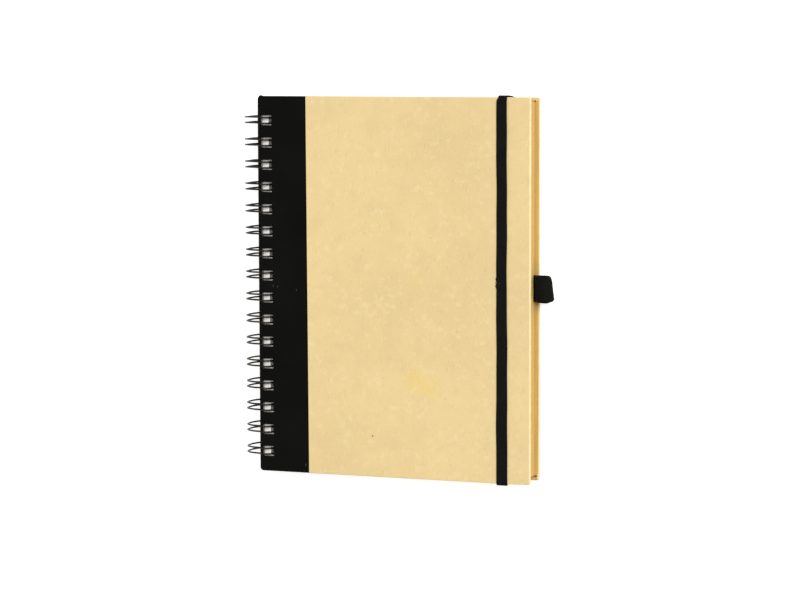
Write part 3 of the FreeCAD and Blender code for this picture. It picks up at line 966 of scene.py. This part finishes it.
class NOTEBOOK_OT_sheets(bpy.types.Operator):
    """Builds the stack of punched sheets"""
    bl_idname = "notebook.sheets"
    bl_label = "Sheets"

    def execute(self, context):
        sheets, wire = settings().sheets, settings().wire
        height = SHEETS_HIGH.z - SHEETS_LOW.z
        pitch = height / sheets.count
        sheet = one_sheet(pitch * sheets.fill)
        half = height / 2.0
        bow_radius = (half * half + sheets.bow ** 2) / (2.0 * sheets.bow)
        made = sheets_tree().run(sheet, {
            "Sheets": sheets.count, "Pitch": pitch, "Jitter": sheets.jitter, "Seed": sheets.seed,
            "Bottom": SHEETS_LOW.z, "Middle": MIDDLE, "Bow radius": bow_radius,
            "Bow end": math.sqrt(bow_radius ** 2 - half ** 2), "Height": height,
            "Face": sheet_paper("Sheet_face", sheets.face, 0.01, sheets.edge),
            "Edge": sheet_paper("Sheet_edge", sheets.edge, 0.09),
            "Hole wall": sheet_paper("Sheet_hole_wall", sheets.hole_wall, 0.03)}, "sheets_stack")
        dress(made, "sheets", "sheets", "page_block")
        return {"FINISHED"}


def leg_start():
    """Ring angle at which the closed seam lies just above the back lining."""
    wire = settings().wire
    low = SHEETS_LOW.z - MIDDLE + wire.base_height
    angle = math.asin(low / wire.radius)
    for _ in range(20):
        lowest = wire.radius * math.sin(angle) - wire.base_bend * math.cos(angle)
        angle += (low - lowest) / wire.radius
    return angle


def seam_place():
    """Where the closed seam runs, in X and Z."""
    wire = settings().wire
    angle = leg_start()
    return (JOINT.x + wire.radius * math.cos(angle) + wire.base_bend * math.sin(angle),
            MIDDLE + wire.radius * math.sin(angle) - wire.base_bend * math.cos(angle))


def loop_route():
    """One double loop: up a leg, round the tip and down the other leg, with half a seam at each end."""
    wire = settings().wire
    start = leg_start()
    half = wire.leg_spacing / 2.0
    gap = (wire.base_bend + half) / wire.radius
    end = start + 2.0 * math.pi - gap
    ring = Vector((JOINT.x, 0.0, MIDDLE))
    out_start = Vector((math.cos(start), 0.0, math.sin(start)))
    out_end = Vector((math.cos(end), 0.0, math.sin(end)))
    seam_x, seam_z = seam_place()
    along = Vector((0.0, 1.0, 0.0))
    foot = ring + out_start * wire.radius
    turn = math.degrees(end - start)
    route = [Vector((seam_x, -wire.pitch / 2.0, seam_z)), Vector((seam_x, -half - wire.base_bend, seam_z))]
    arc_turn(route, foot - along * (half + wire.base_bend), out_start, 90.0, 5)
    arc_turn(route, ring - along * half, -along, turn, 56)
    arc_turn(route, ring + out_end * wire.radius, out_end, -180.0, 10)
    arc_turn(route, ring + along * half, along, turn, 56)
    arc_turn(route, foot + along * (half + wire.base_bend), out_start, 90.0, 5)
    route.append(Vector((seam_x, wire.pitch / 2.0, seam_z)))
    for point in route:
        outside = max(0.0, SPINE - point.x) / wire.radius
        inside = smooth_step(point.x, SPINE, SPINE + 3.0 * MM)
        point.y -= wire.tip_lean * outside ** 6 + wire.leg_drop * inside
    return route


class NOTEBOOK_OT_wire(bpy.types.Operator):
    """Builds the twin-loop wire"""
    bl_idname = "notebook.wire"
    bl_label = "Twin-loop wire"

    def execute(self, context):
        wire = settings().wire
        route = loop_route()
        mesh = bpy.data.meshes.new("one_loop")
        mesh.from_pydata([tuple(p) for p in route], [(i, i + 1) for i in range(len(route) - 1)], [])
        path = bpy.data.objects.new("one_loop", mesh)
        context.scene.collection.objects.link(path)
        centres = hole_centres()
        reach = wire.leg_spacing / 2.0 + wire.base_bend + wire.end_stub
        made = loops_tree().run(path, {
            "Loops": wire.loops, "Pitch": wire.pitch, "First loop": centres[0],
            "Row start": centres[0] - reach, "Row end": centres[-1] + reach,
            "Wire radius": wire.wire / 2.0, "Sides": wire.sides,
            "Finish": coated_wire("Coated_wire")}, "wire_loops")
        dress(made, "sheets", "wire", "twin_loop_wire")
        return {"FINISHED"}


def stations_of(route, to_place, across):
    """Middle, across and outward directions and distance at each point of a flat route."""
    stations, distance = [], 0.0
    for i, here in enumerate(route):
        before, after = route[max(i - 1, 0)], route[min(i + 1, len(route) - 1)]
        along = (after - before).normalized()
        if i:
            distance += (here - route[i - 1]).length
        outward = Vector((along.y, -along.x))
        stations.append((to_place(here), across, to_place(outward, True), distance))
    return stations


def band_route():
    """Middle line of the closing band in Y and Z, from its head end in the back board to its tail end."""
    half_thick = settings().elastic.thickness / 2.0
    page_gap, exit_bend, lean, edge_bend = 0.35 * MM, 0.8 * MM, 4.0 * MM, 0.3 * MM
    low, edge = exit_bend + half_thick, edge_bend + half_thick
    exit_y = SHEETS_HIGH.y + page_gap + low
    tab_z = BACK_HIGH.z - half_thick - 0.02 * MM
    edge_y = COVER_HIGH.y + 0.05 * MM + half_thick
    top_z = COVER_HIGH.z + 0.06 * MM + half_thick
    tab_y = SHEETS_HIGH.y - settings().elastic.tab
    half = [(tab_y, tab_z), (exit_y, tab_z), (edge_y, SHEETS_HIGH.z), (edge_y, top_z)]
    corners = half + [(-y, z) for y, z in reversed(half)]
    return soft_route(corners, [low, lean, edge, edge, lean, low], 1.2 * MM)


def lint_fibres():
    """Loose threads at the band's edge and a speck caught on it: points, faces and the faces' materials."""
    shapes = [(1, 0.16, [(62.75, 5.9, 21.3), (62.45, 6.7, 21.4), (62.4, 7.4, 21.4), (62.75, 8.1, 21.3)]),
              (1, 0.2, [(62.75, 1.9, 21.3), (62.35, 2.8, 21.4), (62.3, 3.5, 21.4), (62.75, 4.3, 21.3)]),
              (1, 0.1, [(62.7, 4.2, 21.2), (62.2, 4.6, 21.1), (62.1, 5.2, 21.0), (62.6, 5.8, 21.2)]),
              (0, 0.1, [(64.25, 4.5, 21.84), (64.6, 4.8, 21.9), (64.95, 4.7, 21.84)])]
    points, faces, kinds = [], [], []
    for kind, thick, shape in shapes:
        start = len(points)
        route = [Vector(p) * MM for p in shape]
        for i, here in enumerate(route):
            along = (route[min(i + 1, len(route) - 1)] - route[max(i - 1, 0)]).normalized()
            side = along.cross(Vector((0, 0, 1))).normalized()
            top = side.cross(along)
            for k in range(4):
                angle = math.pi / 2.0 * k
                points.append(here + (side * math.cos(angle) + top * math.sin(angle)) * thick * MM)
        for i in range(len(route) - 1):
            for k in range(4):
                a, b = start + i * 4 + k, start + i * 4 + (k + 1) % 4
                faces.append((a, b, b + 4, a + 4))
        last = start + (len(route) - 1) * 4
        faces += [(start + 3, start + 2, start + 1, start), (last, last + 1, last + 2, last + 3)]
        kinds += [kind] * (len(faces) - len(kinds))
    return points, faces, kinds


class NOTEBOOK_OT_band(bpy.types.Operator):
    """Builds the closing band"""
    bl_idname = "notebook.band"
    bl_label = "Closing band"

    def execute(self, context):
        elastic = settings().elastic
        middle = (BAND_LOW.x + BAND_HIGH.x) / 2.0

        def place(point, direction=False):
            return Vector((0.0 if direction else middle, point.x, point.y))

        stations = stations_of(band_route(), place, Vector((1.0, 0.0, 0.0)))
        # The free stretch wavers a little, as woven elastic does
        width = BAND_HIGH.x - BAND_LOW.x
        wander = []
        for point, across, outward, distance in stations:
            sway = 0.09 * math.sin(distance / 0.013) + 0.06 * math.sin(distance / 0.0047 + 1.3)
            lean, top, bottom = ((elastic.head_lean, 1.0 * MM, 6.0 * MM) if point.y > 0 else
                                 (-elastic.tail_lean, 0.6 * MM, 5.0 * MM))
            sway += lean / MM * smooth_step(COVER_HIGH.z - point.z, -top, bottom) \
                * smooth_step(point.z, BACK_HIGH.z, BACK_HIGH.z + 5.0 * MM)
            wide = 0.988 + 0.012 * math.sin(distance / 0.0085 + 0.6)
            spread = elastic.tail_spread * smooth_step(-point.y, -30.0 * MM, COVER_HIGH.y) - 0.02
            wide += spread
            sway += spread * width / MM / 2.0
            corner = (point - Vector((point.x, COVER_HIGH.y, COVER_HIGH.z + 0.4 * MM))).length
            pinch = math.exp(-(corner / (1.1 * MM)) ** 2)
            wide -= elastic.corner_pinch * pinch
            sway += 0.55 * pinch
            wander.append((point + across * sway * MM, across * wide, outward, distance))
        profile = strap_profile(width - 0.1 * MM, elastic.thickness, elastic.band_ribs, elastic.rib_height)
        yarn = woven_elastic("Band_elastic", elastic.band_ribs, width)
        piece = strap("closing_band", wander, profile, [yarn])
        dress(piece, "back", "elastic", "elastic_band")
        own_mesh(piece)
        points, faces, kinds = lint_fibres()
        threads = [loose_fibre("Loose_fibre", elastic.lint), loose_fibre("Loose_yarn", elastic.black)]
        lint = new_piece("band_lint", points, faces, threads, kinds, [True] * len(faces))
        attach(lint, "back")
        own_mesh(lint)
        return {"FINISHED"}


def pen_route():
    """Middle line of the pen loop's strap at its head side, in X and Z: out, round the eye and back."""
    elastic = settings().elastic
    half_wall = 0.5 * MM
    floor = PEN_LOW.z + half_wall
    near = SHEETS_HIGH.x - elastic.tab
    eye = (PEN_HIGH.z - PEN_LOW.z) / 2.0 - half_wall
    head_x = PEN_HIGH.x - elastic.pen_skew - half_wall - eye
    centre = Vector((head_x, floor + eye))
    neck = Vector((SHEETS_HIGH.x + 0.9 * MM, floor + 0.97 * MM))
    away = centre - neck
    touch = math.atan2(away.y, away.x) + math.asin(eye / away.length)
    reach = math.sqrt(away.length ** 2 - eye ** 2)
    top = neck + Vector((math.cos(touch), math.sin(touch))) * reach
    end = math.atan2(top.y - centre.y, top.x - centre.x)
    route = [Vector((near, floor))]
    run_to(route, Vector((head_x, floor)), 1.5 * MM)
    for k in range(1, 29):
        angle = -math.pi / 2.0 + (end + math.pi / 2.0) * k / 28
        route.append(centre + Vector((math.cos(angle), math.sin(angle))) * eye)
    run_to(route, neck.lerp(top, 0.2), 1.0 * MM)
    route.append(neck.lerp(top, 0.08) + Vector((-0.1 * MM, 0.05 * MM)))
    route.append(neck + Vector((-0.6 * MM, 0.03 * MM)))
    run_to(route, Vector((near, floor + 2.0 * half_wall)), 1.5 * MM)
    return route


class NOTEBOOK_OT_pen_loop(bpy.types.Operator):
    """Builds the pen loop"""
    bl_idname = "notebook.pen_loop"
    bl_label = "Pen loop"

    def execute(self, context):
        elastic = settings().elastic
        middle = (PEN_LOW.y + PEN_HIGH.y) / 2.0

        def place(point, direction=False):
            return Vector((point.x, 0.0 if direction else middle, point.y))

        stations = stations_of(pen_route(), place, Vector((0.0, 1.0, 0.0)))
        width = PEN_HIGH.y - PEN_LOW.y
        profile = strap_profile(width - 0.1 * MM, elastic.thickness, elastic.pen_ribs, elastic.rib_height)
        yarn = woven_elastic("Loop_elastic", elastic.pen_ribs, width)
        piece = strap("pen_loop_strap", stations, profile, [yarn])
        neck = SHEETS_HIGH.x
        for vertex in piece.data.vertices:
            tail = (PEN_HIGH.y - vertex.co.y) / width
            out = smooth_step(vertex.co.x, neck, FORE + 1.0 * MM)
            end = smooth_step(vertex.co.x, PEN_HIGH.x - 5.6 * MM, PEN_HIGH.x - 1.4 * MM)
            round_off = 0.5 * MM * max(0.0, 1.0 - tail * 6.0) * end
            vertex.co.x += (elastic.pen_skew * tail + elastic.pen_reach) * out - round_off
            side = vertex.co.y - middle
            vertex.co.y = middle + side * (1.0 - (0.21 if side < 0 else 0.07) * end * end)
        piece.data.update()
        dress(piece, "back", "elastic", "pen_loop")
        return {"FINISHED"}


def seen_directly(nodes):
    """1 on rays from the camera, mirrored or let through; 0 on rays that carry light to the notebook."""
    rays = nodes.node("ShaderNodeLightPath").outputs
    last = rays["Is Camera Ray"]
    for label in ("Is Glossy Ray", "Is Transmission Ray"):
        last = nodes.math("MAXIMUM", last, rays[label])
    return last


def white_floor_paper():
    """Matt white that glows a little to the camera and still takes a shadow."""
    stage = settings().stage
    made = Finish("White_floor", 0.9, Specular_IOR_Level=0.0, Base_Color=(*[stage.floor_white] * 3, 1.0),
                  Emission_Color=(1.0, 1.0, 1.0, 1.0))
    seen = made.times(seen_directly(made), stage.floor_glow)
    made.tree.links.new(seen, made.surface.inputs["Emission Strength"])
    return made.material


class NOTEBOOK_OT_stage(bpy.types.Operator):
    """Sets up the floor, the light and the camera"""
    bl_idname = "notebook.stage"
    bl_label = "Stage"

    def execute(self, context):
        stage = settings().stage
        scene = context.scene
        half = stage.floor_size / 2.0
        corners = [(-half, -half, 0.0), (half, -half, 0.0), (half, half, 0.0), (-half, half, 0.0)]
        floor = new_piece("white_floor", corners, [(0, 1, 2, 3)], [white_floor_paper()])
        world = bpy.data.worlds.new("Even_light")
        world.use_nodes = True
        air = Nodes(world.node_tree)
        sky = next(n for n in air.tree.nodes if n.type == "BACKGROUND")
        sky.inputs["Color"].default_value = (1.0, 1.0, 1.0, 1.0)
        seen = air.node("ShaderNodeMapRange", {"Value": seen_directly(air), "To Min": stage.world})
        air.tree.links.new(seen.outputs["Result"], sky.inputs["Strength"])
        scene.world = world
        lamp = bpy.data.lights.new("Soft_key", "SUN")
        lamp.energy = stage.key
        lamp.angle = stage.key_softness
        key = bpy.data.objects.new("Soft_key", lamp)
        key.rotation_mode = "QUATERNION"
        key.rotation_quaternion = Vector(stage.key_from).to_track_quat("Z", "Y")
        scene.collection.objects.link(key)
        camera = bpy.data.cameras.new("Camera")
        camera.lens = stage.lens
        camera.sensor_width = 36.0
        camera.clip_start, camera.clip_end = 0.05, 50.0
        eye = bpy.data.objects.new("Camera", camera)
        eye.location = stage.camera_place
        eye.rotation_euler = stage.camera_turn
        scene.collection.objects.link(eye)
        scene.camera = eye
        scene.view_settings.view_transform = "Standard"
        return {"FINISHED"}


class NotebookSettings(bpy.types.PropertyGroup):
    """All the notebook's settings."""
    cover: pointer(NotebookCoverSettings, "Covers", "Covers and strips")
    sheets: pointer(NotebookSheetSettings, "Sheets", "Stack of sheets")
    wire: pointer(NotebookWireSettings, "Wire", "Twin-loop wire")
    elastic: pointer(NotebookElasticSettings, "Elastic", "Band and loop")
    stage: pointer(NotebookStageSettings, "Stage", "Camera and light")


PIECE_OPERATORS = (NOTEBOOK_OT_boards, NOTEBOOK_OT_strips, NOTEBOOK_OT_linings, NOTEBOOK_OT_sheets,
                   NOTEBOOK_OT_wire, NOTEBOOK_OT_band, NOTEBOOK_OT_pen_loop, NOTEBOOK_OT_stage)


class NOTEBOOK_PT_panel(bpy.types.Panel):
    """Lists the notebook's pieces and settings in the sidebar."""
    bl_idname = "NOTEBOOK_PT_panel"
    bl_label = "Twin-loop notebook"
    bl_space_type = "VIEW_3D"
    bl_region_type = "UI"
    bl_category = "Notebook"

    def draw(self, context):
        for operator in PIECE_OPERATORS:
            self.layout.operator(operator.bl_idname)
        for group in ("cover", "sheets", "wire", "elastic", "stage"):
            box = self.layout.box()
            held = getattr(settings(), group)
            for key in held.bl_rna.properties.keys():
                if key not in ("rna_type", "name"):
                    box.prop(held, key)


CLASSES = (NotebookCoverSettings, NotebookSheetSettings, NotebookWireSettings, NotebookElasticSettings,
           NotebookStageSettings, NotebookSettings, *PIECE_OPERATORS, NOTEBOOK_PT_panel)


def register():
    for item in CLASSES:
        bpy.utils.register_class(item)
    bpy.types.Scene.notebook = bpy.props.PointerProperty(type=NotebookSettings)


def unregister():
    del bpy.types.Scene.notebook
    for item in reversed(CLASSES):
        bpy.utils.unregister_class(item)


def main():
    register()
    bpy.ops.notebook.boards()
    bpy.ops.notebook.strips()
    bpy.ops.notebook.linings()
    bpy.ops.notebook.sheets()
    bpy.ops.notebook.wire()
    bpy.ops.notebook.band()
    bpy.ops.notebook.pen_loop()
    bpy.ops.notebook.stage()
    bpy.context.view_layer.update()


if __name__ == "__main__":
    main()
